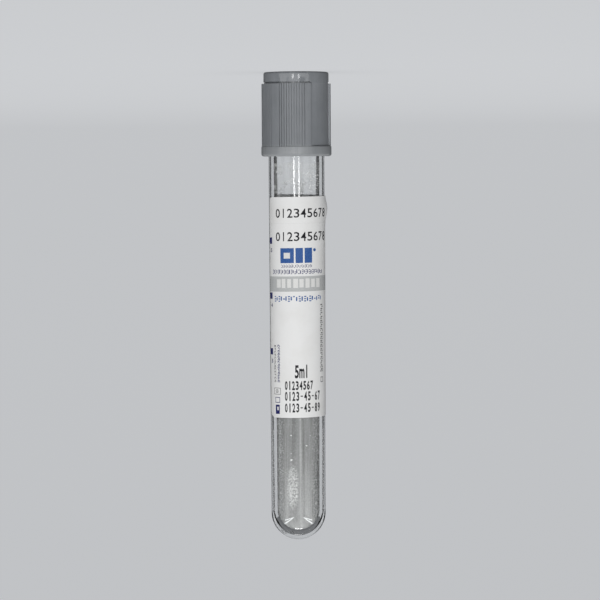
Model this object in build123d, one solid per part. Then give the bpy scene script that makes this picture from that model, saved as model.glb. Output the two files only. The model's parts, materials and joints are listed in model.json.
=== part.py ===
from build123d import *

import os
from math import acos, atan2, cos, hypot, radians, sin

# A 13 x 100 mm blood collection tube, closed by a rubber stopper under a grip cap. Each piece is modelled
# upright about the Z axis, with the tube's round end at height 0, the front of the label facing -Y and its
# right side at +X. A round end can't be stood on, and on its side the tube would roll, so the finished pieces
# are turned over together and stand on the cap's top. The label still faces -Y. Millimetres and degrees.

# Tube
tube_length = 100.0
seat_radius = 6.35  # straight band under the cap, where a holder grips
wall_draft = 0.16  # how much narrower the wall is at the round end
rim_step = 0.03  # how much wider it is under the cap
mouth_wall = 0.94
end_wall = 1.4
floor_thickness = 1.9
seat_length = 8.0
seat_below_cap = 0.65
rim_rise = 1.0  # height of the slope from the straight band to the rim's band
rim_round = 0.25

# Cap
cap_height = 19.15
cap_rise = 7.0  # from the tube's rim to the cap's top
skirt_clearance = 0.37  # round the rim
cap_wall = 0.675
cap_top_thickness = 1.5
cap_top_round = 0.45
port_radius = 4.0  # the hole that the needle passes through
port_lead = 0.4
port_foot = 0.1  # the same at the hole's lower edge
flange_step = 0.575  # how far it stands out from the cap
flange_height = 2.25
flange_round = 0.55
flange_top_round = 0.15
skirt_lead = 0.3
bead_below_rim = 0.8  # ring inside the cap that carries the stopper's head
bead_height = 0.75
bead_clearance = 0.1  # from the bead to the rim

# Cap: grip pads, two and opposite, each with two groups of fine grooves
pad_step = 0.46  # how far they stand out from the cap
pad_width = 127.0
pad_middle = -37.5  # from the front, positive to the right
pad_count = 2
crown_height = 2.65  # plain ring over the pads
shadow_groove_height = 0.4
shadow_groove_depth = 0.35
rib_groove_count = 11  # in each group
rib_groove_pitch = 4.3
rib_groove_width = 0.17
rib_groove_depth = 0.28
rib_group_offset = 8.65  # from the pad's middle to the first groove of a group

# Stopper
head_clearance = 0.05  # round the head
seat_clearance = 0.03  # under and over the head
plug_clearance = 0.03  # from the sealing rings to the bore
plug_length = 8.5
plug_lead = 0.8  # height of the slope at the plug's lower end
plug_foot = 0.2  # plain stretch between that slope and the last ring's
ring_count = 3
ring_height = 1.3
ring_depth = 0.35
ring_slope = 0.3
head_round = 0.4
well_radius = 3.4  # hollow in the head, under the port
well_depth = 2.4
well_round = 0.8
recess_radius = 3.1  # hollow in the plug's lower end
recess_depth = 5.5

# Label
label_height = 50.6
label_below_cap = 9.15
label_thickness = 0.1
label_clearance = 0.02  # the adhesive
label_left_edge = -73.0  # from the front, positive to the right
label_wrap = 327.0
label_corner = 2.0

# Dried additive on the bore's wall
film_thickness = 0.08
film_clearance = 0.01
film_below_cap = 1.5

# Radii that follow from the sizes above
end_radius = seat_radius - wall_draft
rim_radius = seat_radius + rim_step
mouth_radius = rim_radius - mouth_wall
foot_radius = end_radius - end_wall
skirt_bore_radius = rim_radius + skirt_clearance
cap_radius = skirt_bore_radius + cap_wall
flange_radius = cap_radius + flange_step
pad_radius = cap_radius + pad_step

# Heights that follow from them
cap_top = tube_length + cap_rise
cap_bottom = cap_top - cap_height
flange_top = cap_bottom + flange_height
pad_top = cap_top - crown_height
seat_top = cap_bottom - seat_below_cap
seat_bottom = seat_top - seat_length
label_top = cap_bottom - label_below_cap
label_bottom = label_top - label_height
film_top = cap_bottom - film_below_cap


def azimuth(from_front):
    """An angle from the front, positive to the right, as an angle from +X."""
    return from_front - 90.0


def turned(outline, wrap=360.0, from_front=90.0):
    """A face of radius against height, turned about the axis through wrap degrees from the given start."""
    return Rot(0, 0, azimuth(from_front)) * revolve(Plane.XZ * outline, Axis.Z, wrap)


def ring(inner, outer, low, high, wrap=360.0, from_front=90.0):
    """A plain ring, or a stretch of one."""
    corners = [(inner, low), (outer, low), (outer, high), (inner, high)]
    return turned(make_face(Polyline(*corners, close=True)), wrap, from_front)


def wall_start(radius, low, far_radius, far_height):
    """Radius and height where a tapered wall that runs to the far point leaves a round end smoothly."""
    middle = low + radius
    reach = hypot(far_radius, far_height - middle)
    angle = atan2(far_height - middle, far_radius) - acos(radius / reach)
    return radius * cos(angle), middle + radius * sin(angle)


def on_wall(start, end, height):
    """Radius at this height on the straight wall from start to end."""
    share = (height - start[1]) / (end[1] - start[1])
    return start[0] + share * (end[0] - start[0])


def outer_radius(height):
    """Outside of the tapered wall between the round end and the straight band."""
    end = (seat_radius, seat_bottom)
    return on_wall(wall_start(end_radius, 0, *end), end, height)


def bore_radius(height):
    """Wall of the bore above its round foot."""
    end = (mouth_radius, tube_length)
    return on_wall(wall_start(foot_radius, floor_thickness, *end), end, height)


def round_end(radius, low, tangent):
    """Arc from the axis, at the lowest point of a round end, to where the wall leaves it."""
    middle = (radius * sin(radians(45)), low + radius * (1 - cos(radians(45))))
    return ThreePointArc((0, low), middle, tangent)


def make_tube():
    """Round-ended, tapered outside; a bore that narrows downwards to a round foot."""
    outer_start = wall_start(end_radius, 0, seat_radius, seat_bottom)
    bore_start = wall_start(foot_radius, floor_thickness, mouth_radius, tube_length)
    wall = Polyline(
        outer_start,
        (seat_radius, seat_bottom),
        (seat_radius, seat_top),
        (rim_radius, seat_top + rim_rise),
        (rim_radius, tube_length),
        (mouth_radius, tube_length),
        bore_start,
    )
    outside = round_end(end_radius, 0, outer_start)
    inside = round_end(foot_radius, floor_thickness, bore_start)
    tube = turned(make_face([outside, wall, inside, Line((0, floor_thickness), (0, 0))]))
    return fillet(tube.edges().filter_by_position(Axis.Z, tube_length - 0.01, tube_length + 0.01), rim_round)


def cap_shell():
    """The cap without its grip: flange, skirt, top with its port, and the bead inside."""
    bead_top = tube_length - (bead_below_rim - bead_height)
    bead_bottom = bead_top - bead_height
    bead_radius = rim_radius + bead_clearance
    bead_depth = skirt_bore_radius - bead_radius
    under_top = cap_top - cap_top_thickness
    shell = turned(
        make_face(
            Polyline(
                (flange_radius, cap_bottom),
                (flange_radius, flange_top),
                (cap_radius, flange_top),
                (cap_radius, cap_top),
                (port_radius + port_lead, cap_top),
                (port_radius, cap_top - port_lead),
                (port_radius, under_top + port_foot),
                (port_radius + port_foot, under_top),
                (skirt_bore_radius, under_top),
                (skirt_bore_radius, bead_top),
                (bead_radius, bead_top),
                (bead_radius, bead_bottom),
                (skirt_bore_radius, bead_bottom - bead_depth),
                (skirt_bore_radius, cap_bottom + skirt_lead),
                (skirt_bore_radius + skirt_lead, cap_bottom),
                close=True,
            )
        )
    )
    shell = rounded(shell, cap_radius, cap_top, cap_top_round)
    shell = rounded(shell, flange_radius, cap_bottom, flange_round)
    return rounded(shell, flange_radius, flange_top, flange_top_round)


def rounded(piece, radius, height, amount):
    """The piece with its round edge of this radius, at this height, rounded off."""
    level = piece.edges().filter_by(GeomType.CIRCLE).filter_by_position(Axis.Z, height - 0.01, height + 0.01)
    return fillet([edge for edge in level if abs(edge.radius - radius) < 0.01], amount)


def rib_groove(from_front):
    """Cutter for one upright groove, open at the top of a pad."""
    reach = rib_groove_depth + 1.0
    height = pad_top - flange_top
    cutter = Box(reach, rib_groove_width, height, align=(Align.MIN, Align.CENTER, Align.MIN))
    return Rot(0, 0, azimuth(from_front)) * Pos(pad_radius - rib_groove_depth, 0, flange_top) * cutter


def make_cap():
    """The shell with its grip pads, the shadow groove above each pad and the fine grooves in the pads."""
    cap = cap_shell()
    root = cap_radius - shadow_groove_depth
    shadow_top = pad_top + shadow_groove_height
    cutters = []
    for index in range(pad_count):
        middle = pad_middle + index * 360.0 / pad_count
        start = middle - pad_width / 2
        cap += ring(root, pad_radius, flange_top, pad_top, pad_width, start)
        cutters.append(ring(root, pad_radius + 1.0, pad_top, shadow_top, pad_width, start))
        for side in (-1, 1):
            for number in range(rib_groove_count):
                cutters.append(rib_groove(middle + side * (rib_group_offset + number * rib_groove_pitch)))
    return cap - cutters


def plug_outline():
    """Points down the plug's side, ring by ring, to its lower end."""
    points = []
    ring_pitch = (plug_length - plug_lead - plug_foot - ring_slope) / ring_count
    top = tube_length - (ring_pitch - ring_height)
    for number in range(ring_count):
        high = top - number * ring_pitch
        low = high - ring_height
        crest = bore_radius(low) - plug_clearance
        points += [
            (crest - ring_depth, high + ring_slope),
            (crest, high),
            (crest, low),
            (crest - ring_depth, low - ring_slope),
        ]
    root, plug_bottom = points[-1][0], tube_length - plug_length
    return points + [(root, plug_bottom + plug_lead), (root - plug_lead / 2, plug_bottom)]


def make_stopper():
    """Head over the rim, plug with sealing rings in the bore, a well on top and a recess below."""
    head_radius = skirt_bore_radius - head_clearance
    head_bottom = tube_length + seat_clearance
    head_top = cap_top - cap_top_thickness - seat_clearance
    side = plug_outline()
    plug_bottom = side[-1][1]
    stopper = turned(
        make_face(
            Polyline(
                (0, head_top - well_depth),
                (well_radius, head_top - well_depth),
                (well_radius, head_top),
                (head_radius, head_top),
                (head_radius, head_bottom),
                (side[0][0], head_bottom),
                *side,
                (recess_radius, plug_bottom),
                (recess_radius, plug_bottom + recess_depth - recess_radius),
                (0, plug_bottom + recess_depth),
                close=True,
            )
        )
    )
    stopper = rounded(stopper, head_radius, head_top, head_round)
    return rounded(stopper, well_radius, head_top - well_depth, well_round)


def corner_cutter(from_front, height, turn):
    """Cutter that rounds one corner of the label: a square less a disc, driven out from the axis."""
    inward = -1 if turn > 0 else 1
    upward = 1 if height > (label_top + label_bottom) / 2 else -1
    across, down = inward * label_corner, -upward * label_corner
    square = Pos(across / 2, down / 2) * Rectangle(label_corner, label_corner)
    disc = Pos(across, down) * Circle(label_corner)
    plane = Rot(0, 0, azimuth(from_front)) * Plane((0, 0, height), x_dir=(0, 1, 0), z_dir=(1, 0, 0))
    return extrude(plane * (square - disc), rim_radius * 2)


def make_label():
    """A wrap of paper that follows the tapered wall, with rounded corners."""
    low = outer_radius(label_bottom) + label_clearance
    high = outer_radius(label_top) + label_clearance
    section = Polyline(
        (low, label_bottom),
        (low + label_thickness, label_bottom),
        (high + label_thickness, label_top),
        (high, label_top),
        close=True,
    )
    label = turned(make_face(section), label_wrap, label_left_edge)
    right_edge = label_left_edge + label_wrap
    for height in (label_bottom, label_top):
        label -= corner_cutter(label_left_edge, height, -1)
        label -= corner_cutter(right_edge, height, 1)
    return label


def coat_line(inset):
    """Outline of the coat's side that is set in this far from the bore, from the axis to its upper edge."""
    start = wall_start(foot_radius - inset, floor_thickness + inset, mouth_radius - inset, tube_length)
    end = (on_wall(start, (mouth_radius - inset, tube_length), film_top), film_top)
    return round_end(foot_radius - inset, floor_thickness + inset, start), Line(start, end), end


def make_film():
    """A thin coat on the bore's wall, from the floor to just below the cap."""
    outer_end, outer_wall, outer_top = coat_line(film_clearance)
    inner_end, inner_wall, inner_top = coat_line(film_clearance + film_thickness)
    foot = Line(outer_end @ 0, inner_end @ 0)
    return turned(make_face([outer_end, outer_wall, Line(outer_top, inner_top), inner_wall, inner_end, foot]))


def on_its_cap(pieces):
    """Where the turned-over tube stands, and the pieces there."""
    place = Pos(0, 0, cap_top) * Rot(0, 180.0, 0)
    return place, {name: place * piece for name, piece in pieces.items()}


pieces = {
    "tube": make_tube(),
    "cap": make_cap(),
    "stopper": make_stopper(),
    "label": make_label(),
    "additive_film": make_film(),
}
place, stood = on_its_cap(pieces)
os.makedirs("parts", exist_ok=True)
for name, piece in stood.items():
    export_step(piece, f"parts/{name}.step")
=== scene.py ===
import json
from math import acos, atan2, cos, exp, hypot, pi, radians, sin
from random import Random

import bmesh
import bpy
from mathutils import Matrix, Vector


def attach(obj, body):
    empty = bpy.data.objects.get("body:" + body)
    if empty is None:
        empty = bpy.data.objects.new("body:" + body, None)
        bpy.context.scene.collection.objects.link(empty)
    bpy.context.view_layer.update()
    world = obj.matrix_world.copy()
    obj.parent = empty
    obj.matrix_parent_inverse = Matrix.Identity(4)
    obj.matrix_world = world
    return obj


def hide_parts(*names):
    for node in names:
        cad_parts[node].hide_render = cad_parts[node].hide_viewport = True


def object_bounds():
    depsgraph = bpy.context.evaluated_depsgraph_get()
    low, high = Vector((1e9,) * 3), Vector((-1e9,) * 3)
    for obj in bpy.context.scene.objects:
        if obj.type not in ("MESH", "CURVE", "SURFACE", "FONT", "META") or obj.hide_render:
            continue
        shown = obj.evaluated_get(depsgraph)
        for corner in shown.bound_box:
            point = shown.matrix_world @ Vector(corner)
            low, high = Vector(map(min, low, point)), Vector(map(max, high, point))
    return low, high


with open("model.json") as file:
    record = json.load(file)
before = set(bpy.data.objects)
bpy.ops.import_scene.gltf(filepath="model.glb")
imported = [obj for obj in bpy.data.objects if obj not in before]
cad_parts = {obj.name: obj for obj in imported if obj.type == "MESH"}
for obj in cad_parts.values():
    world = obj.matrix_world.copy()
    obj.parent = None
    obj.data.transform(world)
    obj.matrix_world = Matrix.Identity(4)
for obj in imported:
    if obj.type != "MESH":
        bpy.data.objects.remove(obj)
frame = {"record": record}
cad_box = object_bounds()

# Each piece is modelled cap up: the axis is +Z, the outside of the round end is at height 0, the front of
# the label faces -Y and its right side is at +X. set_down() then turns it over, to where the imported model
# stands on its cap. Sizes are in millimetres and angles in degrees, until they meet an operator.
MM = 0.001
WELD = 0.000002  # in metres: points nearer than this are one
TOUCH = 0.005  # a point this near to a line lies on it

# Tube
TUBE_LENGTH = 100.0
END_RADIUS, SEAT_RADIUS, RIM_RADIUS = 6.19, 6.35, 6.38
FOOT_RADIUS, MOUTH_RADIUS = 4.79, 5.44
FLOOR = 1.9
SEAT_BOTTOM, SEAT_TOP = 79.2, 87.2
RIM_LEAD, RIM_ROUND = 1.0, 0.25
MOULD_MARK_TURN, MOULD_MARK_RISE = -33.0, -41.0  # its place on the round end

# Cap
CAP_BOTTOM, CAP_TOP, CAP_TOP_THICKNESS = 87.85, 107.0, 1.5
CAP_RADIUS, SKIRT_BORE_RADIUS, PORT_RADIUS = 7.425, 6.75, 4.0
FLANGE_RADIUS, FLANGE_TOP = 8.0, 90.10
PAD_RADIUS, PAD_TOP = 7.885, 104.35
PAD_WIDTH, PAD_MIDDLE = 127.0, -37.5
SHADOW_GROOVE_HEIGHT, SHADOW_GROOVE_DEPTH = 0.4, 0.35
RIB_GROOVES, RIB_GROOVE_PITCH, RIB_GROUP_OFFSET = 11, 4.3, 8.65
RIB_GROOVE_WIDTH, RIB_GROOVE_DEPTH = 0.17, 0.28
CAP_TOP_ROUND, FLANGE_FOOT_ROUND, FLANGE_TOP_ROUND, CAP_EDGE_ROUND = 0.45, 0.55, 0.1, 0.075
SKIRT_LEAD, PORT_LEAD, PORT_FOOT = 0.3, 0.4, 0.1
LEDGE_GAP, LEDGE_ROOT, LEDGE_BOTTOM, LEDGE_TOP = 0.1, 98.93, 99.2, 99.95  # inside, round the tube's rim

# Stopper
HEAD_RADIUS, HEAD_BOTTOM, HEAD_TOP = 6.70, 100.03, 105.47
PLUG_BOTTOM, PLUG_LEAD = 91.5, 0.8
RINGS, RING_PITCH, RING_HEIGHT, RING_DEPTH, RING_SLOPE = 3, 2.4, 1.3, 0.35, 0.3
WELL_RADIUS, WELL_DEPTH = 3.4, 2.4
RECESS_RADIUS, RECESS_DEPTH = 3.1, 5.5
PLUG_GAP = 0.03
HEAD_ROUND, WELL_ROUND, RUBBER_EDGE_ROUND = 0.4, 0.8, 0.07

# Label
LABEL_BOTTOM, LABEL_TOP = 28.5, 78.7
LABEL_LEFT, LABEL_WRAP = -73.0, 327.0
LABEL_GAP, LABEL_THICKNESS = 0.02, 0.1
LABEL_CORNER, LABEL_FIRST_CORNER = 2.0, 1.2  # the first is the upper left one
LABEL_STRIP, LABEL_ROW = 0.4, 1.0  # how finely the sheet is cut so that it bends
LABEL_GIRTH = 6.41  # the radius at which lengths across the label are true
LABEL_SKEW = 0.014  # rise to the right, from being stuck on a little crooked
SCORE_HEIGHT = 72.7  # of the faint line across the paper
BLISTER_LIFT, BLISTER_TURN, BLISTER_HEIGHT = 0.55, 94.0, 75.9  # where the paper has come off the wall
BLISTER_WIDTH, BLISTER_REACH = 15.0, 2.1

# Print. Places are across the flat label from its front and up from the round end. Each ink has a name and
# its lift off the paper, so that no ink lies in another.
INKS = (("black", 0.012), ("navy", 0.012), ("blue", 0.012), ("band", 0.008), ("knockout", 0.016))
INK_STRIP, INK_FIRST_CUT = 0.5, 0.35
DIGIT_ONE_WIDTH = 0.26
LARGE_NUMBER_HEIGHTS = (75.0, 69.7)
VOLUME_MARKS = ((68.8, "5"), (56.28, "4"), (43.56, "3"))
BLOCKS = ((-2.37, 3.3), (0.5, 1.7), (2.65, 1.85))  # middle and width of the plain blocks
BLOCK_MIDDLE, BLOCK_HEIGHT = 65.4, 3.4
BAND_MIDDLE, BAND_HEIGHT, BAND_INSET = 58.95, 3.45, 0.02

# Dried additive
COAT_GAP, COAT_THICKNESS, COAT_TOP = 0.01, 0.08, 86.35
GRAINS, GRAIN_BOTTOM, GRAIN_SPAN = 1500, 2.6, 26.0
GRAIN_CLUSTERS = (  # degrees from the front, height, spread of both, and how many
    (-14.0, 13.0, 9.0, 3.4, 240),
    (-8.0, 27.0, 4.0, 0.5, 60),
    (38.0, 82.0, 12.0, 1.6, 120),
    (25.0, 9.0, 10.0, 2.2, 60),
)
LARGE_GRAINS = (  # degrees from the front, height and size
    (-17.0, 24.4, 0.34),
    (-18.0, 20.2, 0.26),
    (-17.0, 18.7, 0.3),
    (-13.0, 16.8, 0.26),
    (-8.0, 27.2, 0.3),
    (21.0, 22.0, 0.24),
    (31.0, 24.3, 0.22),
    (-47.0, 9.6, 0.22),
)

# Camera, with its place in the working position
CAMERA_SIDE, CAMERA_DISTANCE, CAMERA_HEIGHT, CAMERA_AIM = 0.61, 627.0, 86.0, 55.0
CAMERA_ROLL, CAMERA_SENSOR, CAMERA_LENS = -0.35, 36.0, 164.5


def turned_over():
    """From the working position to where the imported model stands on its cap, the label still facing -Y."""
    mounts = {mount["name"]: mount for mount in frame["record"]["mounts"]}
    along = Vector(mounts["needle_port"]["axis"])
    back = Vector((0.0, 1.0, 0.0))
    turn = Matrix((back.cross(along), back, along)).transposed().to_4x4()
    return Matrix.Translation((0.0, 0.0, cad_box[1].z)) @ turn


PLACE = turned_over()


def wall_start(radius, low, far_radius, far_height):
    """Radius and height where a tapered wall leaves a round end smoothly."""
    middle = low + radius
    reach = hypot(far_radius, far_height - middle)
    angle = atan2(far_height - middle, far_radius) - acos(radius / reach)
    return radius * cos(angle), middle + radius * sin(angle)


def on_wall(start, end, height):
    """Radius of a straight, tapered wall at this height."""
    share = (height - start[1]) / (end[1] - start[1])
    return start[0] + share * (end[0] - start[0])


OUTER_START = wall_start(END_RADIUS, 0.0, SEAT_RADIUS, SEAT_BOTTOM)
BORE_START = wall_start(FOOT_RADIUS, FLOOR, MOUTH_RADIUS, TUBE_LENGTH)


def outer_radius(height):
    """Outside of the tapered wall between the round end and the straight band."""
    return on_wall(OUTER_START, (SEAT_RADIUS, SEAT_BOTTOM), height)


def bore_radius(height):
    """Wall of the bore, from its round foot to its mouth."""
    if height < BORE_START[1]:
        below = FLOOR + FOOT_RADIUS - height
        return (max(FOOT_RADIUS**2 - below**2, 0.0)) ** 0.5
    return on_wall(BORE_START, (MOUTH_RADIUS, TUBE_LENGTH), height)


# ---------------------------------------------------------------- modelling


def take(piece):
    """Selects this piece and nothing else."""
    bpy.ops.object.select_all(action="DESELECT")
    bpy.context.view_layer.objects.active = piece
    piece.select_set(True)


def weld(distance=WELD):
    """Selects all of the mesh and merges the points that are in one place."""
    bpy.ops.mesh.select_all(action="SELECT")
    bpy.ops.mesh.remove_doubles(threshold=distance)


def begin(name):
    """A new piece of one point on the origin, open for editing."""
    bpy.ops.object.select_all(action="DESELECT")
    bpy.ops.mesh.primitive_plane_add(size=MM)
    piece = bpy.context.object
    piece.name = piece.data.name = name
    bpy.ops.object.mode_set(mode="EDIT")
    bpy.ops.mesh.select_mode(type="VERT")
    bpy.ops.mesh.merge(type="CENTER")
    return piece


def turned(name, section, sectors=((360.0, 192),), start=0.0):
    """A piece turned about the axis: its section is drawn point by point and spun, sector by sector.

    The first sector starts at start degrees to the right of the front.
    """
    piece = begin(name)
    right, back = cos(radians(start - 90.0)), sin(radians(start - 90.0))
    points = [Vector((radius * right, radius * back, height)) * MM for radius, height in section]
    bpy.ops.transform.translate(value=points[0])
    for here, there in zip(points, points[1:]):
        bpy.ops.mesh.extrude_vertices_move(TRANSFORM_OT_translate={"value": there - here})
    bpy.ops.mesh.select_all(action="SELECT")
    for sweep, steps in sectors:
        bpy.ops.mesh.spin(steps=steps, angle=radians(sweep), center=(0, 0, 0), axis=(0, 0, 1))
    weld()
    bpy.ops.mesh.normals_make_consistent(inside=False)
    bpy.ops.mesh.select_all(action="DESELECT")
    return piece


def arc(middle_height, radius, low_angle, high_angle, steps):
    """Points of an arc about a place on the axis, with its angles measured up from level."""
    turns = [low_angle + (high_angle - low_angle) * step / steps for step in range(steps + 1)]
    return [(max(radius * cos(turn), 0.0), middle_height + radius * sin(turn)) for turn in turns]


def place_of(point):
    """Degrees to the right of the front, radius and height of a point."""
    from_front = (atan2(point.y, point.x) * 180.0 / pi + 90.0 + 180.0) % 360.0 - 180.0
    return from_front, hypot(point.x, point.y) / MM, point.z / MM


def pick(piece, kind, wanted):
    """Selects only the faces or edges whose middle is at a wanted place."""
    bpy.ops.mesh.select_mode(type="FACE" if kind == "faces" else "EDGE")
    bpy.ops.mesh.select_all(action="DESELECT")
    mesh = bmesh.from_edit_mesh(piece.data)
    for part in mesh.faces if kind == "faces" else mesh.edges:
        middle = sum((vertex.co for vertex in part.verts), Vector()) / len(part.verts)
        if wanted(part, *place_of(middle)):
            part.select_set(True)
    mesh.select_flush_mode()
    bmesh.update_edit_mesh(piece.data)


def round_ring(piece, radius, height, amount, segments=4):
    """Rounds off the edge that runs round the axis at this radius and height."""

    def on_ring(edge, *_):
        ends = [place_of(vertex.co) for vertex in edge.verts]
        return all(abs(out - radius) < TOUCH and abs(up - height) < TOUCH for _, out, up in ends)

    pick(piece, "edges", on_ring)
    bpy.ops.mesh.bevel(offset=amount * MM, segments=segments, affect="EDGES", clamp_overlap=False)


def close_up(smooth_angle):
    """Ends the editing of a piece and shades it smooth up to this angle."""
    bpy.ops.mesh.select_all(action="DESELECT")
    bpy.ops.object.mode_set(mode="OBJECT")
    bpy.ops.object.shade_smooth_by_angle(angle=radians(smooth_angle))


def modified(piece, kind, **settings):
    """Adds a modifier with these settings and applies it."""
    take(piece)
    modifier = piece.modifiers.new(kind.title(), kind)
    for name, value in settings.items():
        setattr(modifier, name, value)
    bpy.ops.object.modifier_apply(modifier=modifier.name)


def soften(piece, width, segments, sharp_angle):
    """Ends the editing of a piece, rounds its sharp edges and shades it smooth."""
    bpy.ops.mesh.select_all(action="DESELECT")
    bpy.ops.object.mode_set(mode="OBJECT")
    settings = {"width": width * MM, "segments": segments, "angle_limit": radians(sharp_angle)}
    modified(piece, "BEVEL", limit_method="ANGLE", **settings)
    bpy.ops.object.shade_smooth_by_angle(angle=radians(40))


def set_down(piece, body, finish, replaces=None):
    """Turns a finished piece over to where it stands, on its body and with its material."""
    take(piece)
    piece.matrix_world = PLACE
    bpy.ops.object.transform_apply(location=True, rotation=True, scale=True)
    piece.data.materials.clear()
    piece.data.materials.append(finish.material)
    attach(piece, body)
    if replaces:
        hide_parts(replaces)


# ---------------------------------------------------------------- materials
# They read places as the piece stands: height 0 is the cap's top face, and the round end is at the top.


class Amount:
    """A node's output, on which plain arithmetic adds Math nodes."""

    def __init__(self, finish, socket):
        self.finish, self.socket = finish, socket

    def maths(self, operation, *terms):
        return self.finish.node("Math", {"operation": operation}, dict(enumerate((self, *terms))))

    def __add__(self, other):
        return self.maths("ADD", other)

    def __radd__(self, other):
        return self.maths("ADD", other)

    def __sub__(self, other):
        return self.maths("SUBTRACT", other)

    def __rsub__(self, other):
        return self.finish.node("Math", {"operation": "SUBTRACT"}, {0: other, 1: self})

    def __mul__(self, other):
        return self.maths("MULTIPLY", other)

    def __rmul__(self, other):
        return self.maths("MULTIPLY", other)

    def __truediv__(self, other):
        return self.maths("DIVIDE", other)

    def __gt__(self, other):
        return self.maths("GREATER_THAN", other)

    def __lt__(self, other):
        return self.maths("LESS_THAN", other)

    def clamped(self):
        return self.finish.node("Clamp", {}, {"Value": self})

    def eased(self, low, high):
        """0 up to low, 1 from high on, and a smooth rise between them."""
        values = {"Value": self, "From Min": low, "From Max": high}
        return self.finish.node("MapRange", {"interpolation_type": "SMOOTHSTEP"}, values)


class Finish:
    """A material as it is put together.

    What is the same all over is set on the shader, and what varies is added as nodes.
    """

    def __init__(self, name, **constants):
        self.material = bpy.data.materials.new(name)
        self.material.use_nodes = True
        self.tree = self.material.node_tree
        self.shader = self.tree.nodes["Principled BSDF"]
        self.output = self.tree.nodes["Material Output"]
        for name, value in constants.items():
            self.shader.inputs[name.replace("_", " ")].default_value = value

    def node(self, kind, settings, values, output=0):
        """Adds a node: first its settings, then the value or link of each of its sockets."""
        node = self.tree.nodes.new("ShaderNode" + kind)
        for name, value in settings.items():
            setattr(node, name, value)
        for name, value in values.items():
            if isinstance(value, Amount):
                self.tree.links.new(value.socket, node.inputs[name])
            else:
                node.inputs[name].default_value = value
        return Amount(self, node.outputs[output])

    def place(self, scale=(1, 1, 1)):
        """Object coordinates in millimetres, stretched by this scale."""
        here = self.node("TexCoord", {}, {}, output="Object")
        return self.node("Mapping", {}, {"Vector": here, "Scale": [part / MM for part in scale]})

    def noise(self, vector, scale, detail=3.0, roughness=0.55):
        values = {"Vector": vector, "Scale": scale, "Detail": detail, "Roughness": roughness}
        return self.node("TexNoise", {}, values)

    def mixed(self, factor, first, second):
        """One colour or reading fading into another."""
        return self.node("Mix", {"data_type": "RGBA"}, {"Factor": factor, 6: first, 7: second}, output=2)

    def set(self, socket, amount):
        self.tree.links.new(amount.socket, self.shader.inputs[socket])

    def bump(self, height, strength, distance):
        raised = self.node("Bump", {}, {"Height": height, "Strength": strength, "Distance": distance * MM})
        self.set("Normal", raised)


def paint(red, green, blue):
    """A colour from its everyday 0 to 255 values."""

    def linear(part):
        return part / 12.92 if part <= 0.04045 else ((part + 0.055) / 1.055) ** 2.4

    return linear(red / 255.0), linear(green / 255.0), linear(blue / 255.0), 1.0


def clear_polyester():
    """Clear, hard and glossy, with the faintest drawn lines from moulding. It lets lamp light through."""
    clear = (0.985, 0.992, 0.995, 1.0)
    finish = Finish("clear_polyester", Base_Color=clear, IOR=1.57, Transmission_Weight=1.0)
    drawn = finish.noise(finish.place(scale=(1.0, 1.0, 0.02)), 1.6, detail=2.0)
    smears = finish.noise(finish.place(), 0.35, detail=4.0)
    finish.set("Roughness", 0.012 + 0.012 * smears.eased(0.5, 0.8))
    finish.bump(drawn, 0.04, 0.02)
    lamps = finish.node("BsdfTransparent", {}, {"Color": (0.93, 0.94, 0.945, 1.0)})
    is_shadow = finish.node("LightPath", {}, {}, output="Is Shadow Ray")
    plastic = Amount(finish, finish.shader.outputs[0])
    both = finish.node("MixShader", {}, {0: is_shadow, 1: plastic, 2: lamps})
    finish.tree.links.new(both.socket, finish.output.inputs["Surface"])
    return finish


def satin_polyethylene():
    """Grey moulded polyethylene: satin, faintly mottled and with fine flow lines.

    Its flange is painted paler, which is painted light, and is glossier; it is polished on the band next to
    the cap's top.
    """
    finish = Finish("satin_polyethylene", Specular_IOR_Level=0.45, IOR=1.5)
    here = finish.place()
    cloud = finish.noise(here, 0.25, detail=3.0)
    grain = finish.noise(here, 9.0, detail=2.0)
    flow = finish.noise(finish.place(scale=(1.0, 1.0, 0.06)), 1.1, detail=3.0)
    shade = (0.35 * cloud + 0.35 * flow + 0.3 * grain).eased(0.3, 0.7)
    height = finish.node("SeparateXYZ", {}, {"Vector": here}, output="Z")
    # the flange mask: it paints the flange paler as painted light and makes it glossier
    thin = height.eased(16.3, 17.1) * 0.55 + height.eased(18.5, 19.0) * 0.45  # the flange, then its end
    body = finish.mixed(shade, (0.185, 0.196, 0.209, 1.0), (0.226, 0.237, 0.252, 1.0))
    # painted light: the flange is mixed towards a paler grey
    finish.set("Base Color", finish.mixed(thin * 0.45, body, (0.36, 0.37, 0.37, 1.0)))
    polished = 1.0 - height.eased(2.3, 2.7)
    textured = 1.0 - 0.8 * polished
    finish.set("Roughness", (0.28 - 0.2 * polished - 0.16 * thin) + (0.12 * flow + 0.08 * grain) * textured)
    finish.bump((0.6 * grain + 0.4 * flow) * textured, 0.25, 0.03)
    return finish


def butyl_rubber():
    """Dark grey butyl rubber, matt, with a dusting of talc."""
    finish = Finish("butyl_rubber", Specular_IOR_Level=0.35)
    here = finish.place()
    talc = finish.noise(here, 2.5, detail=5.0, roughness=0.7)
    rubber, dusted = (0.028, 0.028, 0.031, 1.0), (0.075, 0.075, 0.078, 1.0)
    finish.set("Base Color", finish.mixed(talc.eased(0.45, 0.75), rubber, dusted))
    finish.set("Roughness", 0.55 + 0.25 * talc)
    finish.bump(talc, 0.3, 0.03)
    return finish


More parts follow.
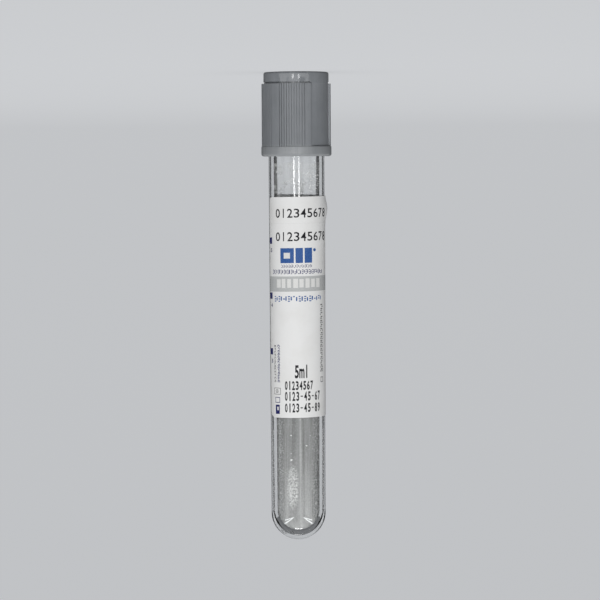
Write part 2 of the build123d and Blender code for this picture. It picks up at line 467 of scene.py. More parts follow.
def label_paper():
    """White semi-gloss paper with a fine tooth, a warm cast where the glue shows, and a score line across
    it, pressed in by the bump and darkened as painted shade.
    """
    finish = Finish("label_paper", Specular_IOR_Level=0.45)
    here = finish.node("UVMap", {}, {})
    flat = finish.node("Mapping", {}, {"Vector": here, "Scale": (1 / MM, 1 / MM, 1.0)})
    tooth = finish.noise(flat, 6.0, detail=4.0, roughness=0.6)
    glue = finish.noise(flat, 0.18, detail=3.0)
    drawn = finish.node("Mapping", {}, {"Vector": flat, "Scale": (0.3, 2.2, 1.0)})
    fibre = finish.noise(drawn, 2.5, detail=3.0)
    cast = finish.mixed(glue.eased(0.4, 0.75), (0.80, 0.80, 0.795, 1.0), (0.765, 0.762, 0.75, 1.0))
    dust = finish.mixed(0.12 * fibre, cast, (0.60, 0.60, 0.59, 1.0))
    height = finish.node("SeparateXYZ", {}, {"Vector": flat}, output="Y")
    # painted shade: the score line is drawn darker, and the bump below presses it in
    score_and_painted_shade = 1.0 - (height - SCORE_HEIGHT).maths("ABSOLUTE").eased(0.02, 0.11)
    finish.set("Base Color", finish.mixed(0.12 * score_and_painted_shade, dust, (0.45, 0.45, 0.44, 1.0)))
    finish.set("Roughness", 0.42 + 0.16 * tooth)
    finish.bump(0.6 * tooth + 0.4 * fibre - 1.5 * score_and_painted_shade, 0.2, 0.02)
    return finish


def ink(name, colour, thin):
    """Printing ink of one colour that lies a little unevenly. thin is its tint where there is less of it."""
    finish = Finish(name, Specular_IOR_Level=0.4)
    spread = finish.noise(finish.place(), 5.0, detail=3.0, roughness=0.6)
    finish.set("Base Color", finish.mixed(spread.eased(0.35, 0.85), colour, thin))
    finish.set("Roughness", 0.36 + 0.2 * spread)
    return finish


def additive_powder():
    """Dried salts on the bore: frosted and streaky in front, and speckled to the sides, which in the front
    half are drawn darker as painted shade; a column near the front's middle is drawn lighter as painted
    light.

    Near the closure there are only a few patches. Two painted highlights on each side of the round end,
    white V-shaped streaks in the front half that the bump also raises, stand for its glints.
    """
    finish = Finish("additive_powder", Specular_IOR_Level=0.3, Roughness=0.8)
    here = finish.place()
    across, depth, height = (
        finish.node("SeparateXYZ", {}, {"Vector": here}, output=axis) for axis in "XYZ"
    )
    streaks = finish.noise(finish.place(scale=(1.0, 1.0, 0.03)), 0.9, detail=4.0, roughness=0.7)
    clouds = finish.noise(here, 0.45, detail=4.0, roughness=0.6)
    specks = finish.noise(here, 3.2, detail=4.0, roughness=0.75)
    aside = across.maths("ABSOLUTE")
    # painted shade: towards the sides the powder is speckled and is also drawn darker
    speckle_and_painted_shade = aside.eased(2.6, 3.7)
    thick = height.eased(30.0, 50.0)
    patches = clouds.eased(0.53, 0.66) * specks.eased(0.45, 0.6)
    even = 0.82 + 0.1 * speckle_and_painted_shade + 0.24 * (specks.eased(0.35, 0.6) - 0.5) * (0.2 + 0.8 * speckle_and_painted_shade)
    # painted light: a lighter column near the front's middle
    painted_light_column = 1.0 - (across + 0.6).maths("ABSOLUTE").eased(0.1, 0.5)
    # near marks the front half, which holds the painted shade of the sides and the painted highlights
    near = 1.0 - depth.eased(-1.0, 0.0)
    heap = 1.0 - ((across - 1.2) / 1.35).maths("POWER", 2.0) - ((height - 94.4) / 5.6).maths("POWER", 2.0)
    heap = heap.clamped() * near * specks.eased(0.42, 0.58)
    fine = 0.1 + 0.2 * painted_light_column + 0.22 * height.eased(82.0, 101.0)
    crust = specks.eased(0.46, 0.66) * (0.35 + 0.65 * clouds.eased(0.3, 0.6))
    light = streaks.eased(0.3, 0.72) * (0.32 - 0.14 * speckle_and_painted_shade) + fine * (1.0 - speckle_and_painted_shade)
    light = light + crust * (0.12 + 0.55 * speckle_and_painted_shade) + heap
    # the painted shade of the sides is lifted again on the back half
    light = (light + 0.25 * speckle_and_painted_shade * (1.0 - near) + 0.9 * (1.0 - thick)).clamped()
    colour = finish.mixed(light, (0.15, 0.15, 0.146, 1.0), (0.74, 0.735, 0.72, 1.0))
    # painted highlight: white V-shaped streaks standing for glints in the round end, also raised by the bump
    painted_glint_streaks, tip_height, tip_aside = 0.0, 101.45, 1.05  # the ridges all start from one height
    for rise, reach in ((0.8, 3.2), (0.35, 2.75)):
        off = (height + 0.15 * specks - tip_height - rise * (aside - tip_aside)).maths("ABSOLUTE")
        painted_glint_streaks = painted_glint_streaks + (off < 0.05 + 0.12 * rise * (aside - 1.0)) * (aside > tip_aside) * (aside < reach)
    painted_glint_streaks = (painted_glint_streaks * near).clamped()
    finish.set("Base Color", finish.mixed(painted_glint_streaks, colour, (0.97, 0.97, 0.965, 1.0)))
    finish.set("Alpha", (thick * even + (1.0 - thick) * (0.05 + 0.6 * patches) + painted_glint_streaks).clamped())
    finish.bump(specks * (0.15 + 0.85 * speckle_and_painted_shade) + painted_glint_streaks, 0.6, 0.06)
    return finish


def additive_crystal():
    """The larger grains of the dried salts, white and a little shiny."""
    finish = Finish("additive_crystal", Specular_IOR_Level=0.6)
    facets = finish.noise(finish.place(), 12.0, detail=1.0)
    finish.set("Base Color", finish.mixed(facets, (0.80, 0.80, 0.79, 1.0), (0.93, 0.93, 0.925, 1.0)))
    finish.set("Roughness", 0.25 + 0.3 * facets)
    return finish


def pale_floor():
    """Plain pale grey backdrop paper, which glows a little so that it stays even from near to far."""
    finish = Finish("pale_floor", Roughness=0.9, Specular_IOR_Level=0.0, Emission_Strength=0.5)
    cloud = finish.noise(finish.place(), 0.004, detail=2.0)
    finish.set("Base Color", finish.mixed(cloud, (0.29, 0.293, 0.298, 1.0), (0.31, 0.313, 0.318, 1.0)))
    finish.shader.inputs["Emission Color"].default_value = (0.95, 0.97, 1.0, 1.0)
    return finish


def dark_card():
    """Matt black card, which only the clear wall shows."""
    return Finish("dark_card", Roughness=0.9, Base_Color=(0.02, 0.02, 0.02, 1.0))


# ---------------------------------------------------------------- pieces


def make_tube():
    """The clear wall, turned in one go from the outside of the round end over the rim to the bore's foot."""
    outer_angle = atan2(OUTER_START[1] - END_RADIUS, OUTER_START[0])
    bore_angle = atan2(BORE_START[1] - FLOOR - FOOT_RADIUS, BORE_START[0])
    section = arc(END_RADIUS, END_RADIUS, -pi / 2, outer_angle, 24)
    section += [(outer_radius(height), height) for height in (30.0, 55.0)]
    section += [(SEAT_RADIUS, SEAT_BOTTOM), (SEAT_RADIUS, SEAT_TOP), (RIM_RADIUS, SEAT_TOP + RIM_LEAD)]
    section += [(RIM_RADIUS, TUBE_LENGTH), (MOUTH_RADIUS, TUBE_LENGTH)]
    section += [(bore_radius(height), height) for height in (75.0, 50.0, 25.0)]
    section += reversed(arc(FLOOR + FOOT_RADIUS, FOOT_RADIUS, -pi / 2, bore_angle, 20))
    tube = turned("tube_wall", section)
    round_ring(tube, RIM_RADIUS, TUBE_LENGTH, RIM_ROUND)
    round_ring(tube, MOUTH_RADIUS, TUBE_LENGTH, RIM_ROUND)
    weld()
    close_up(60.0)
    return tube


def pad_columns():
    """The cap's sectors, each with its steps, from the first pad's middle round to the same place.

    They are plain stretches, ribs and the grooves between the ribs.
    """
    groove = RIB_GROOVE_WIDTH / PAD_RADIUS * 180.0 / pi
    rib = RIB_GROOVE_PITCH - groove
    plain = RIB_GROUP_OFFSET - groove / 2
    group = [(groove, 1)] + [(rib, 2), (groove, 1)] * (RIB_GROOVES - 1)
    margin = PAD_WIDTH / 2 - plain - groove - (RIB_GROOVES - 1) * RIB_GROOVE_PITCH
    half = [(plain, 4)] + group + [(margin, 5)]
    return half + [(180.0 - PAD_WIDTH, 24)] + half[::-1] + half + [(180.0 - PAD_WIDTH, 24)] + half[::-1]


def from_pad(from_front):
    """Degrees from the middle of the nearer pad."""
    return abs((from_front - PAD_MIDDLE + 90.0) % 180.0 - 90.0)


def in_groove(from_front):
    """Whether this direction lies in one of the fine grooves."""
    steps = (from_pad(from_front) - RIB_GROUP_OFFSET) / RIB_GROOVE_PITCH
    half = RIB_GROOVE_WIDTH / PAD_RADIUS * 90.0 / pi / RIB_GROOVE_PITCH
    return -0.5 < steps < RIB_GROOVES - 0.5 and abs(steps - round(steps)) < half


def make_cap():
    """Turned shell, from which the grip pads are drawn out and into which the shadow grooves are pushed."""
    groove_floor = PAD_RADIUS - RIB_GROOVE_DEPTH
    under_top = CAP_TOP - CAP_TOP_THICKNESS
    section = [
        (SKIRT_BORE_RADIUS + SKIRT_LEAD, CAP_BOTTOM),
        (FLANGE_RADIUS, CAP_BOTTOM),
        (FLANGE_RADIUS, FLANGE_TOP),
        (PAD_RADIUS, FLANGE_TOP),
        (groove_floor, FLANGE_TOP),
        (CAP_RADIUS, FLANGE_TOP),
        (CAP_RADIUS, PAD_TOP),
        (CAP_RADIUS, PAD_TOP + SHADOW_GROOVE_HEIGHT),
        (CAP_RADIUS, CAP_TOP),
        (PORT_RADIUS + PORT_LEAD, CAP_TOP),
        (PORT_RADIUS, CAP_TOP - PORT_LEAD),
        (PORT_RADIUS, under_top + PORT_FOOT),
        (PORT_RADIUS + PORT_FOOT, under_top),
        (SKIRT_BORE_RADIUS, under_top),
        (SKIRT_BORE_RADIUS, LEDGE_TOP),
        (RIM_RADIUS + LEDGE_GAP, LEDGE_TOP),
        (RIM_RADIUS + LEDGE_GAP, LEDGE_BOTTOM),
        (SKIRT_BORE_RADIUS, LEDGE_ROOT),
        (SKIRT_BORE_RADIUS, CAP_BOTTOM + SKIRT_LEAD),
        (SKIRT_BORE_RADIUS + SKIRT_LEAD, CAP_BOTTOM),
    ]
    cap = turned("grip_cap", section, pad_columns(), PAD_MIDDLE)
    slack = 0.02  # a facet's middle lies a little inside the round

    def outer(face, from_front, radius):
        upright = abs(face.normal.z) < 0.1
        return upright and radius > CAP_RADIUS - slack and from_pad(from_front) < PAD_WIDTH / 2

    def on_pad(face, from_front, radius, height):
        return outer(face, from_front, radius) and FLANGE_TOP < height < PAD_TOP

    def on_rib(face, from_front, radius, height):
        raised = radius > groove_floor - slack and not in_groove(from_front)
        return raised and on_pad(face, from_front, radius, height)

    def above_pad(face, from_front, radius, height):
        return outer(face, from_front, radius) and PAD_TOP < height < PAD_TOP + SHADOW_GROOVE_HEIGHT

    def doubled(face, from_front, radius, height):
        """The flange's own face, where the foot of the pad has come to lie on it."""
        level = abs(face.normal.z) > 0.9 and abs(height - FLANGE_TOP) < 0.001
        under_pad = from_pad(from_front) < PAD_WIDTH / 2 and CAP_RADIUS - slack < radius < PAD_RADIUS - 0.01
        return level and under_pad and (radius < groove_floor or not in_groove(from_front))

    def draw_out(wanted, start_radius, end_radius):
        growth = end_radius / start_radius
        pick(cap, "faces", wanted)
        bpy.ops.mesh.extrude_region_move(TRANSFORM_OT_translate={"value": (0, 0, 0)})
        bpy.ops.transform.resize(value=(growth, growth, 1.0), center_override=(0, 0, 0))

    draw_out(on_pad, CAP_RADIUS, groove_floor)
    draw_out(on_rib, groove_floor, PAD_RADIUS)
    pick(cap, "faces", doubled)
    bpy.ops.mesh.delete(type="FACE")
    draw_out(above_pad, CAP_RADIUS, CAP_RADIUS - SHADOW_GROOVE_DEPTH)
    weld()
    round_ring(cap, CAP_RADIUS, CAP_TOP, CAP_TOP_ROUND, 5)
    round_ring(cap, FLANGE_RADIUS, CAP_BOTTOM, FLANGE_FOOT_ROUND, 6)
    round_ring(cap, FLANGE_RADIUS, FLANGE_TOP, FLANGE_TOP_ROUND, 3)
    soften(cap, CAP_EDGE_ROUND, 3, 40)
    return cap


def make_stopper():
    """Rubber head over the rim and a plug with three sealing rings in the bore."""
    top = TUBE_LENGTH - (RING_PITCH - RING_HEIGHT)
    side = []
    for number in range(RINGS):
        high = top - number * RING_PITCH
        low = high - RING_HEIGHT
        crest = bore_radius(low) - PLUG_GAP
        side += [(crest - RING_DEPTH, high + RING_SLOPE), (crest, high)]
        side += [(crest, low), (crest - RING_DEPTH, low - RING_SLOPE)]
    root = side[-1][0]
    foot = PLUG_BOTTOM + RECESS_DEPTH - RECESS_RADIUS
    well_floor = HEAD_TOP - WELL_DEPTH
    section = [(0.0, well_floor), (WELL_RADIUS, well_floor), (WELL_RADIUS, HEAD_TOP)]
    section += [(HEAD_RADIUS, HEAD_TOP), (HEAD_RADIUS, HEAD_BOTTOM), (side[0][0], HEAD_BOTTOM), *side]
    section += [(root, PLUG_BOTTOM + PLUG_LEAD), (root - PLUG_LEAD / 2, PLUG_BOTTOM)]
    section += [(RECESS_RADIUS, PLUG_BOTTOM)]
    section += arc(foot, RECESS_RADIUS, 0.0, pi / 2, 8)
    stopper = turned("rubber_stopper", section, ((360.0, 128),))
    round_ring(stopper, HEAD_RADIUS, HEAD_TOP, HEAD_ROUND)
    round_ring(stopper, WELL_RADIUS, well_floor, WELL_ROUND)
    soften(stopper, RUBBER_EDGE_ROUND, 2, 30)
    return stopper


def make_coat():
    """The film of dried additive, a thin shell against the bore."""
    section = []
    for inset in (COAT_GAP, COAT_GAP + COAT_THICKNESS):
        radius, low = FOOT_RADIUS - inset, FLOOR + inset
        mouth = (MOUTH_RADIUS - inset, TUBE_LENGTH)
        start = wall_start(radius, low, *mouth)
        line = arc(low + radius, radius, -pi / 2, atan2(start[1] - low - radius, start[0]), 16)
        line += [(on_wall(start, mouth, height), height) for height in (30.0, 60.0, COAT_TOP)]
        section += line if inset == COAT_GAP else line[::-1]
    coat = turned("additive_coat", section, ((360.0, 96),))
    close_up(60.0)
    return coat


def blister(angle, height):
    """How far the paper stands off the wall at its upper right, where it has lifted."""
    aside, above = (angle - BLISTER_TURN) / BLISTER_WIDTH, (height - BLISTER_HEIGHT) / BLISTER_REACH
    return BLISTER_LIFT * exp(-(aside**2) - above**2)


def wrap_round(piece):
    """Bends a flat piece round the tube.

    It is drawn as width against height, with its rise from the paper's underside as depth.
    """
    for vertex in piece.data.vertices:
        across, up, out = vertex.co / MM
        angle = across / LABEL_GIRTH
        height = up + LABEL_SKEW * across
        radius = outer_radius(height) + LABEL_GAP + out + blister(angle * 180.0 / pi, height)
        vertex.co = Vector((radius * sin(angle), -radius * cos(angle), height)) * MM
    piece.data.update()


def sliced(piece, low, high, spacing, along_height=False):
    """Cuts an open flat piece into narrow strips, so that it can bend."""
    direction = (0, 1, 0) if along_height else (1, 0, 0)
    for number in range(int((high - low) / spacing) + 1):
        bpy.ops.mesh.select_all(action="SELECT")
        where = Vector(direction) * (low + number * spacing) * MM
        bpy.ops.mesh.bisect(plane_co=where, plane_no=direction)


def across_at(from_front):
    """Width on the flat label at this many degrees to the right of the front."""
    return radians(from_front) * LABEL_GIRTH


def make_label():
    """A flat sheet with rounded corners, cut into strips, thickened and wrapped."""
    left, right = across_at(LABEL_LEFT), across_at(LABEL_LEFT + LABEL_WRAP)
    middle = Vector(((left + right) / 2, (LABEL_BOTTOM + LABEL_TOP) / 2, 0.0)) * MM
    size = ((right - left) * MM, (LABEL_TOP - LABEL_BOTTOM) * MM, 1.0)
    bpy.ops.object.select_all(action="DESELECT")
    bpy.ops.mesh.primitive_plane_add(size=1.0)
    label = bpy.context.object
    label.name = label.data.name = "paper_label"
    bpy.ops.object.mode_set(mode="EDIT")
    bpy.ops.mesh.select_mode(type="VERT")
    bpy.ops.transform.resize(value=size, center_override=(0, 0, 0))
    bpy.ops.transform.translate(value=middle)
    for side, end, corner in (
        (left, LABEL_TOP, LABEL_FIRST_CORNER),
        (left, LABEL_BOTTOM, LABEL_CORNER),
        (right, LABEL_TOP, LABEL_CORNER),
        (right, LABEL_BOTTOM, LABEL_CORNER),
    ):
        mesh = bmesh.from_edit_mesh(label.data)
        for vertex in mesh.verts:
            vertex.select_set((vertex.co.xy / MM - Vector((side, end))).length < 2 * TOUCH)
        mesh.select_flush_mode()
        bmesh.update_edit_mesh(label.data)
        bpy.ops.mesh.bevel(offset=corner * MM, segments=8, affect="VERTICES")
    edge, end = LABEL_STRIP / 2, LABEL_ROW / 2
    sliced(label, left + edge, right - edge, LABEL_STRIP)
    sliced(label, LABEL_BOTTOM + end, LABEL_TOP - end, LABEL_ROW, along_height=True)
    bpy.ops.object.mode_set(mode="OBJECT")
    layer = label.data.uv_layers[0]
    for loop in label.data.loops:
        layer.data[loop.index].uv = label.data.vertices[loop.vertex_index].co.xy
    modified(label, "SOLIDIFY", thickness=LABEL_THICKNESS * MM, offset=1.0)
    wrap_round(label)
    bpy.ops.object.shade_smooth_by_angle(angle=radians(35))
    return label


class Print:
    """One ink's share of the print: bars, outlines and figures, drawn flat before they are wrapped."""

    def __init__(self, name, lift):
        self.piece = begin(name)
        bpy.ops.mesh.delete(type="VERT")
        bpy.ops.object.mode_set(mode="OBJECT")
        self.lift = lift

    def edit(self):
        take(self.piece)
        bpy.ops.object.mode_set(mode="EDIT")
        bpy.ops.mesh.select_all(action="DESELECT")

    def bars(self, places):
        """Plain bars, each given by its middle, width and height."""
        self.edit()
        for x, y, width, height in places:
            bpy.ops.mesh.primitive_plane_add(size=MM, location=(x * MM, y * MM, 0))
            bpy.ops.transform.resize(value=(width, height, 1.0), center_override=(x * MM, y * MM, 0))
            bpy.ops.mesh.select_all(action="DESELECT")
        bpy.ops.object.mode_set(mode="OBJECT")

    def outline(self, x, y, width, height, line):
        """A plain rectangular outline."""
        up, out = (height - line) / 2, (width - line) / 2
        level = [(x, y + up, width, line), (x, y - up, width, line)]
        upright = [(x + way * out, y, line, height - 2 * line) for way in (-1, 1)]
        self.bars(level + upright)

    def figures(self, text, x, y, width, height, weight=0.0):
        """Figures that fill a space of this width and height, with its middle here."""
        bpy.ops.object.select_all(action="DESELECT")
        bpy.ops.object.text_add()
        words = bpy.context.object
        words.data.body = text
        words.data.offset = weight
        words.data.resolution_u = 3
        bpy.ops.object.convert(target="MESH")
        corners = [vertex.co for vertex in words.data.vertices]
        low = Vector((min(c.x for c in corners), min(c.y for c in corners), 0))
        high = Vector((max(c.x for c in corners), max(c.y for c in corners), 0))
        fit = Matrix.Diagonal((width / (high.x - low.x) * MM, height / (high.y - low.y) * MM, 1.0, 1.0))
        there, here = Matrix.Translation(Vector((x, y, 0)) * MM), Matrix.Translation(-(low + high) / 2)
        words.data.transform(there @ fit @ here)
        self.piece.select_set(True)
        bpy.context.view_layer.objects.active = self.piece
        bpy.ops.object.join()

    def digits(self, text, left, y, pitch, width, height, weight):
        """A row of digits and hyphens, one to each step, from the left edge of the first."""
        for number, sign in enumerate(text):
            x = left + number * pitch + width / 2
            if sign == "-":
                self.bars([(x, y, width * 0.8, height * 0.12)])
            else:
                self.figures(sign, x, y, DIGIT_ONE_WIDTH if sign == "1" else width, height, weight)

    def finished(self):
        """Cut into strips, lifted on to the paper's face and wrapped."""
        corners = [vertex.co.x / MM for vertex in self.piece.data.vertices]
        self.edit()
        sliced(self.piece, min(corners) + INK_FIRST_CUT, max(corners), INK_STRIP)
        bpy.ops.mesh.select_all(action="SELECT")
        bpy.ops.mesh.normals_make_consistent(inside=False)
        bpy.ops.transform.translate(value=(0, 0, (LABEL_THICKNESS + self.lift) * MM))
        bpy.ops.object.mode_set(mode="OBJECT")
        mesh = self.piece.data
        if sum(face.normal.z * face.area for face in mesh.polygons) < 0:
            mesh.flip_normals()
        wrap_round(self.piece)
        return self.piece


def dashes(random, x, y, width, height, pitch, fill):
    """A row of blocks of uneven width, which stands for a line of bold print."""
    marks, at = [], 0.0
    while at < width - pitch * 0.4:
        mark = pitch * fill * random.uniform(0.8, 1.1)
        middle = at + mark / 2 - width / 2
        tall = height * random.uniform(0.85, 1.0)
        marks.append((x + middle, y, mark, tall))
        at += pitch
    return marks


def fine_print(random, x, y, width, height, pitch, line, upright=False):
    """A line of print too small to read, as strokes that never meet. upright runs it up the label.

    Each step has up to three short level strokes and one standing by them.
    """
    strokes = []
    for number in range(int(width / pitch + 0.5)):
        along = (number + 0.5) * pitch - width / 2
        for level in (-0.42, -0.02, 0.4):
            long = pitch * random.uniform(0.3, 0.46)
            if random.random() < 0.85:
                strokes.append((along - pitch * 0.36 + long / 2, level * height, long, line))
        shift, tall = random.uniform(-0.1, 0.1), random.uniform(0.6, 0.9)
        strokes.append((along + pitch * 0.27, shift * height, line * 1.2, height * tall))
    if upright:
        return [(x - up, y + along, tall, long) for along, up, long, tall in strokes]
    return [(x + along, y + up, long, tall) for along, up, long, tall in strokes]


def print_label():
    """All of the print: the volume and its marks, plain figures, and bars and strokes for the rest."""
    random = Random(11)
    black, navy, blue, band, knockout = [Print("print_" + name, lift) for name, lift in INKS]

    for y in LARGE_NUMBER_HEIGHTS:
        black.digits("012345678", -5.32, y, 1.55, 1.25, 2.05, 0.01)
    black.figures("5", -0.21, 39.0, 0.92, 3.0, 0.03)
    black.figures("m", 0.95, 38.62, 1.2, 2.2, 0.03)
    black.bars([(2.08, 39.05, 0.27, 3.05)])
    black.digits("01234567", -3.06, 35.86, 0.865, 0.66, 2.05, 0.03)
    black.digits("0123-45-67", -3.07, 33.42, 0.905, 0.66, 2.1, 0.03)
    black.digits("0123-45-89", -3.09, 30.78, 0.905, 0.66, 2.05, 0.03)
    black.bars(fine_print(random, 6.55, 46.4, 15.6, 1.05, 0.92, 0.18, upright=True))
    black.bars(fine_print(random, -5.95, 40.8, 8.6, 0.66, 0.66, 0.13, upright=True))
    black.outline(6.6, 36.95, 0.95, 1.2, 0.13)
    black.outline(-5.3, 34.55, 2.1, 1.5, 0.1)
    black.bars([(-5.3, 34.55, 1.0, 0.12), (-5.3, 34.25, 0.7, 0.12), (-5.3, 34.85, 0.7, 0.12)])

    for y, digit in VOLUME_MARKS:
        navy.bars([(-7.5, y, 1.3, 1.45)])
        navy.figures(digit, -7.15, y - 2.15, 0.62, 0.9, 0.03)
    navy.bars(fine_print(random, 0.15, 61.72, 13.5, 1.0, 0.84, 0.17))
    navy.bars(fine_print(random, -0.3, 63.0, 7.2, 0.68, 0.62, 0.11))
    navy.bars(fine_print(random, -4.75, 40.8, 8.6, 0.66, 0.62, 0.16, upright=True))
    navy.bars([(-5.2, 30.4, 1.3, 2.1)])
    navy.outline(-5.2, 32.55, 1.5, 1.3, 0.14)

    blue.bars([(x, BLOCK_MIDDLE, width, BLOCK_HEIGHT) for x, width in BLOCKS])
    blue.figures(".", 4.25, 66.6, 0.8, 0.75)
    blue.bars(fine_print(random, 0.15, 55.6, 12.4, 1.25, 1.24, 0.25))

    middle = (across_at(LABEL_LEFT + LABEL_WRAP) + across_at(LABEL_LEFT)) / 2
    band.bars([(middle, BAND_MIDDLE, across_at(LABEL_WRAP) - BAND_INSET, BAND_HEIGHT)])
    knockout.bars(dashes(random, 0.5, 59.1, 11.2, 2.2, 1.4, 0.78))
    knockout.bars([(-5.1, 30.6, 0.5, 0.8), (BLOCKS[0][0], BLOCK_MIDDLE, 1.5, 1.3)])
    return black, navy, blue, band, knockout


def make_grains():
    """Grains of dried salts on the bore, thickest near the round end and in a few clusters."""
    random = Random(5)
    bpy.ops.object.select_all(action="DESELECT")
    bpy.ops.mesh.primitive_ico_sphere_add(subdivisions=1, radius=MM)
    pattern = bpy.context.object
    places = []
    for _ in range(GRAINS):
        angle = random.uniform(-180.0, 180.0)
        height = GRAIN_BOTTOM + GRAIN_SPAN * random.random() ** 1.6
        places.append((angle, height, 0.045 * (0.5 + random.random() ** 3 * 1.8)))
    for middle, height, spread, rise, count in GRAIN_CLUSTERS:
        for _ in range(count):
            there = random.gauss(middle, spread), random.gauss(height, rise)
            places.append((*there, 0.05 + 0.1 * random.random() ** 2))
    places += LARGE_GRAINS
    grains = []
    for angle, height, size in places:
        radius = bore_radius(height) - COAT_GAP - COAT_THICKNESS - size * 0.4
        if radius < 0.3:
            continue
        spans = [random.uniform(low, high) for low, high in ((0.6, 1.4), (0.6, 1.4), (0.5, 1.0))]
        stretch = Matrix.Diagonal((*spans, 1.0))
        tilt, spin = random.uniform(0, pi), random.uniform(0, pi)
        turn = Matrix.Rotation(tilt, 4, "X") @ Matrix.Rotation(spin, 4, "Z")
        heading = radians(angle)
        there = Vector((radius * sin(heading), -radius * cos(heading), height)) * MM
        grain = bpy.data.objects.new("grain", pattern.data.copy())
        bpy.context.scene.collection.objects.link(grain)
        grain.matrix_world = Matrix.Translation(there) @ turn @ stretch @ Matrix.Scale(size, 4)
        grain.select_set(True)
        grains.append(grain)
    bpy.data.objects.remove(pattern)
    bpy.context.view_layer.objects.active = grains[0]
    bpy.ops.object.join()
    joined = bpy.context.object
    joined.name = joined.data.name = "additive_grains"
    bpy.ops.object.transform_apply(location=True, rotation=True, scale=True)
    bpy.ops.object.shade_flat()
    return joined


def make_mould_mark():
    """A faint raised number on the round end, low on the left, as moulds leave."""
    mark = Print("mould_mark", 0.0)
    mark.figures("12 34", 0.0, 0.0, 3.2, 1.05, 0.01)
    modified(mark.piece, "SOLIDIFY", thickness=0.12 * MM, offset=0.0)
    for vertex in mark.piece.data.vertices:
        across, up, out = vertex.co / MM
        turn = radians(MOULD_MARK_TURN) + across / END_RADIUS / cos(radians(MOULD_MARK_RISE))
        rise = radians(MOULD_MARK_RISE) + up / END_RADIUS
        reach = END_RADIUS + out
        spot = Vector((cos(rise) * sin(turn), -cos(rise) * cos(turn), sin(rise))) * reach
        vertex.co = (spot + Vector((0, 0, END_RADIUS))) * MM
    return mark.piece


polyester = clear_polyester()
powder = additive_powder()
crystal = additive_crystal()
set_down(make_tube(), "tube_body", polyester, "tube")
set_down(make_mould_mark(), "tube_body", polyester)
set_down(make_cap(), "cap_body", satin_polyethylene(), "cap")
set_down(make_stopper(), "stopper_body", butyl_rubber(), "stopper")
set_down(make_coat(), "tube_body", powder, "additive_film")
set_down(make_grains(), "tube_body", crystal)
set_down(make_label(), "tube_body", label_paper(), "label")
inks = (
    ink("black_ink", paint(22, 22, 25), paint(50, 50, 55)),
    ink("navy_ink", paint(18, 22, 84), paint(60, 66, 128)),
    ink("blue_ink", paint(46, 84, 146), paint(84, 116, 168)),
    ink("grey_ink", paint(178, 180, 180), paint(196, 197, 196)),
    ink("bare_paper", paint(222, 222, 220), paint(212, 212, 210)),
)
for sheet, colour in zip(print_label(), inks):
    set_down(sheet.finished(), "tube_body", colour)


# ---------------------------------------------------------------- studio


def make_bowl():
    """A pale floor that curves up into a wall all round, so that there is no horizon."""
    bpy.ops.object.select_all(action="DESELECT")
    bpy.ops.mesh.primitive_plane_add(size=0.01)
    bowl = bpy.context.object
    bowl.name = "floor"
    bpy.ops.object.mode_set(mode="EDIT")
    bpy.ops.mesh.merge(type="CENTER")
    flat, bend, wall, parts = 0.9, 0.6, 0.8, 24
    steps = [Vector((flat, 0, 0))]
    for number in range(parts):
        low, high = pi / 2 * number / parts, pi / 2 * (number + 1) / parts
        steps.append(Vector((sin(high) - sin(low), 0, cos(low) - cos(high))) * bend)
    steps.append(Vector((0, 0, wall - bend)))
    for step in steps:
        bpy.ops.mesh.extrude_vertices_move(TRANSFORM_OT_translate={"value": step})
    bpy.ops.mesh.select_all(action="SELECT")
    bpy.ops.mesh.spin(steps=96, angle=2 * pi, center=(0, 0, 0), axis=(0, 0, 1))
    weld(0.0001)
    bpy.ops.mesh.normals_make_consistent(inside=True)
    bpy.ops.object.mode_set(mode="OBJECT")
    bpy.ops.object.shade_smooth_by_angle(angle=radians(35))
    bowl.data.materials.append(pale_floor().material)
    bowl.visible_diffuse = bowl.visible_glossy = bowl.visible_shadow = False
    return bowl


def stand_cards():
    """Dark cards round the tube, out of sight, which draw dark lines along the edges of its clear wall."""
    away, width, height = 1.0, 0.32, 0.7
    upright = Matrix(((0, 0, 1, away), (width, 0, 0, 0), (0, height, 0, height / 2), (0, 0, 0, 1)))
    for number in range(8):
        turn = Matrix.Rotation(radians(22.5 + 45.0 * number), 4, "Z")
        bpy.ops.object.select_all(action="DESELECT")
        bpy.ops.mesh.primitive_plane_add(size=1.0)
        card = bpy.context.object
        card.name = "card_%d" % number
        card.data.transform(turn @ upright)
        card.data.materials.append(dark_card().material)
        card.visible_camera = card.visible_diffuse = card.visible_shadow = False


def soft_lamp(name, angle, reach, height, aim, size, power, mirrored=False):
    """An area lamp of this width and length, aimed at a height on the axis.

    It stands at angle degrees to the right of the front. mirrored lets gloss and the clear wall show it.
    """
    where = PLACE.to_3x3() @ Vector((sin(radians(angle)), -cos(radians(angle)), 0.0)) * reach
    where.z = height
    data = bpy.data.lights.new(name, "AREA")
    data.shape, data.energy = "RECTANGLE", power
    data.size, data.size_y = size
    lamp = bpy.data.objects.new(name, data)
    bpy.context.scene.collection.objects.link(lamp)
    away = (where - Vector((0, 0, aim))).normalized()
    lamp.rotation_mode = "QUATERNION"
    lamp.location, lamp.rotation_quaternion = where, away.to_track_quat("Z", "Y")
    lamp.visible_camera = False
    lamp.visible_glossy = lamp.visible_transmission = mirrored
    return lamp


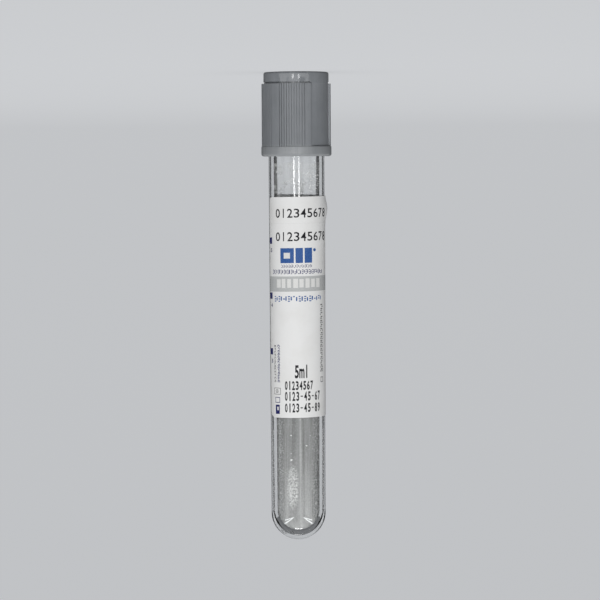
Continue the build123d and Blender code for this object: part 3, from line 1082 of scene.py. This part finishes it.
def light_studio(bowl):
    """Soft light from above and all round, and lamps that draw the gloss.

    The crown glints on the round end, the rims edge the clear wall, and two low strips draw the bright lines
    on the cap's band and down the bare neck. The sheen is a wide, soft gloss on the satin cap alone.
    """
    world = bpy.data.worlds.new("studio")
    bpy.context.scene.world = world
    world.use_nodes = True
    sky = world.node_tree.nodes["Background"]
    sky.inputs["Color"].default_value, sky.inputs["Strength"].default_value = (0.93, 0.96, 1.0, 1.0), 0.15
    soft_lamp("overhead", 0.0, 0.02, 1.0, 0.0, (0.4, 0.3), 3.0)
    lamps = [
        soft_lamp("crown", 180.0, 0.2, 0.95, 0.1, (0.3, 0.06), 0.3, mirrored=True),
        soft_lamp("key", -4.0, 0.95, 0.4, 0.05, (0.5, 0.5), 8.3),
        soft_lamp("back", 180.0, 0.95, 0.4, 0.05, (0.5, 0.5), 5.2),
    ]
    for side, turn in (("left", -1.0), ("right", 1.0)):
        lamps.append(soft_lamp("side_" + side, 100.0 * turn, 0.95, 0.35, 0.05, (0.4, 0.5), 1.7))
        rim = soft_lamp("rim_" + side, 132.0 * turn, 0.9, 0.32, 0.05, (0.1, 0.3), 0.13, mirrored=True)
        rim.visible_transmission = False
        lamps.append(rim)
    for side, angle in (("left", -10.9), ("right", 10.0)):
        strip = (angle, 0.78, -0.02, -0.02, (0.07, 0.16), 0.34)
        lamps.append(soft_lamp("strip_" + side, *strip, mirrored=True))
    sheen = soft_lamp("sheen", -8.0, 0.95, 0.05, 0.05, (2.6, 0.8), 12.5, mirrored=True)
    sheen.visible_diffuse = sheen.visible_transmission = False
    satin = bpy.data.collections.new("satin")
    satin.objects.link(bpy.data.objects["grip_cap"])
    sheen.light_linking.receiver_collection = satin
    backdrop = bpy.data.collections.new("backdrop")
    backdrop.objects.link(bowl)
    for lamp in lamps:  # they light the tube and leave the backdrop even
        lamp.light_linking.receiver_collection = backdrop
    backdrop.collection_objects[0].light_linking.link_state = "EXCLUDE"


def place_camera():
    """The camera in front of the label, level with the closure and held the other way up, as the tube is."""
    eye = PLACE @ (Vector((CAMERA_SIDE, -CAMERA_DISTANCE, CAMERA_HEIGHT)) * MM)
    aim = PLACE @ (Vector((CAMERA_SIDE, 0.0, CAMERA_AIM)) * MM)
    along = PLACE.to_3x3() @ Vector((0, 0, 1))
    back = (eye - aim).normalized()
    right = along.cross(back).normalized()
    turn = Matrix((right, back.cross(right), back)).transposed().to_4x4()
    roll = Matrix.Rotation(radians(CAMERA_ROLL), 4, "Z")
    data = bpy.data.cameras.new("camera")
    data.sensor_width, data.lens = CAMERA_SENSOR, CAMERA_LENS
    data.clip_start, data.clip_end = 0.01, 20.0
    camera = bpy.data.objects.new("camera", data)
    bpy.context.scene.collection.objects.link(camera)
    camera.matrix_world = Matrix.Translation(eye) @ (turn @ roll)
    bpy.context.scene.camera = camera


bowl = make_bowl()
stand_cards()
light_studio(bowl)
place_camera()
bpy.context.scene.view_settings.view_transform = "Standard"
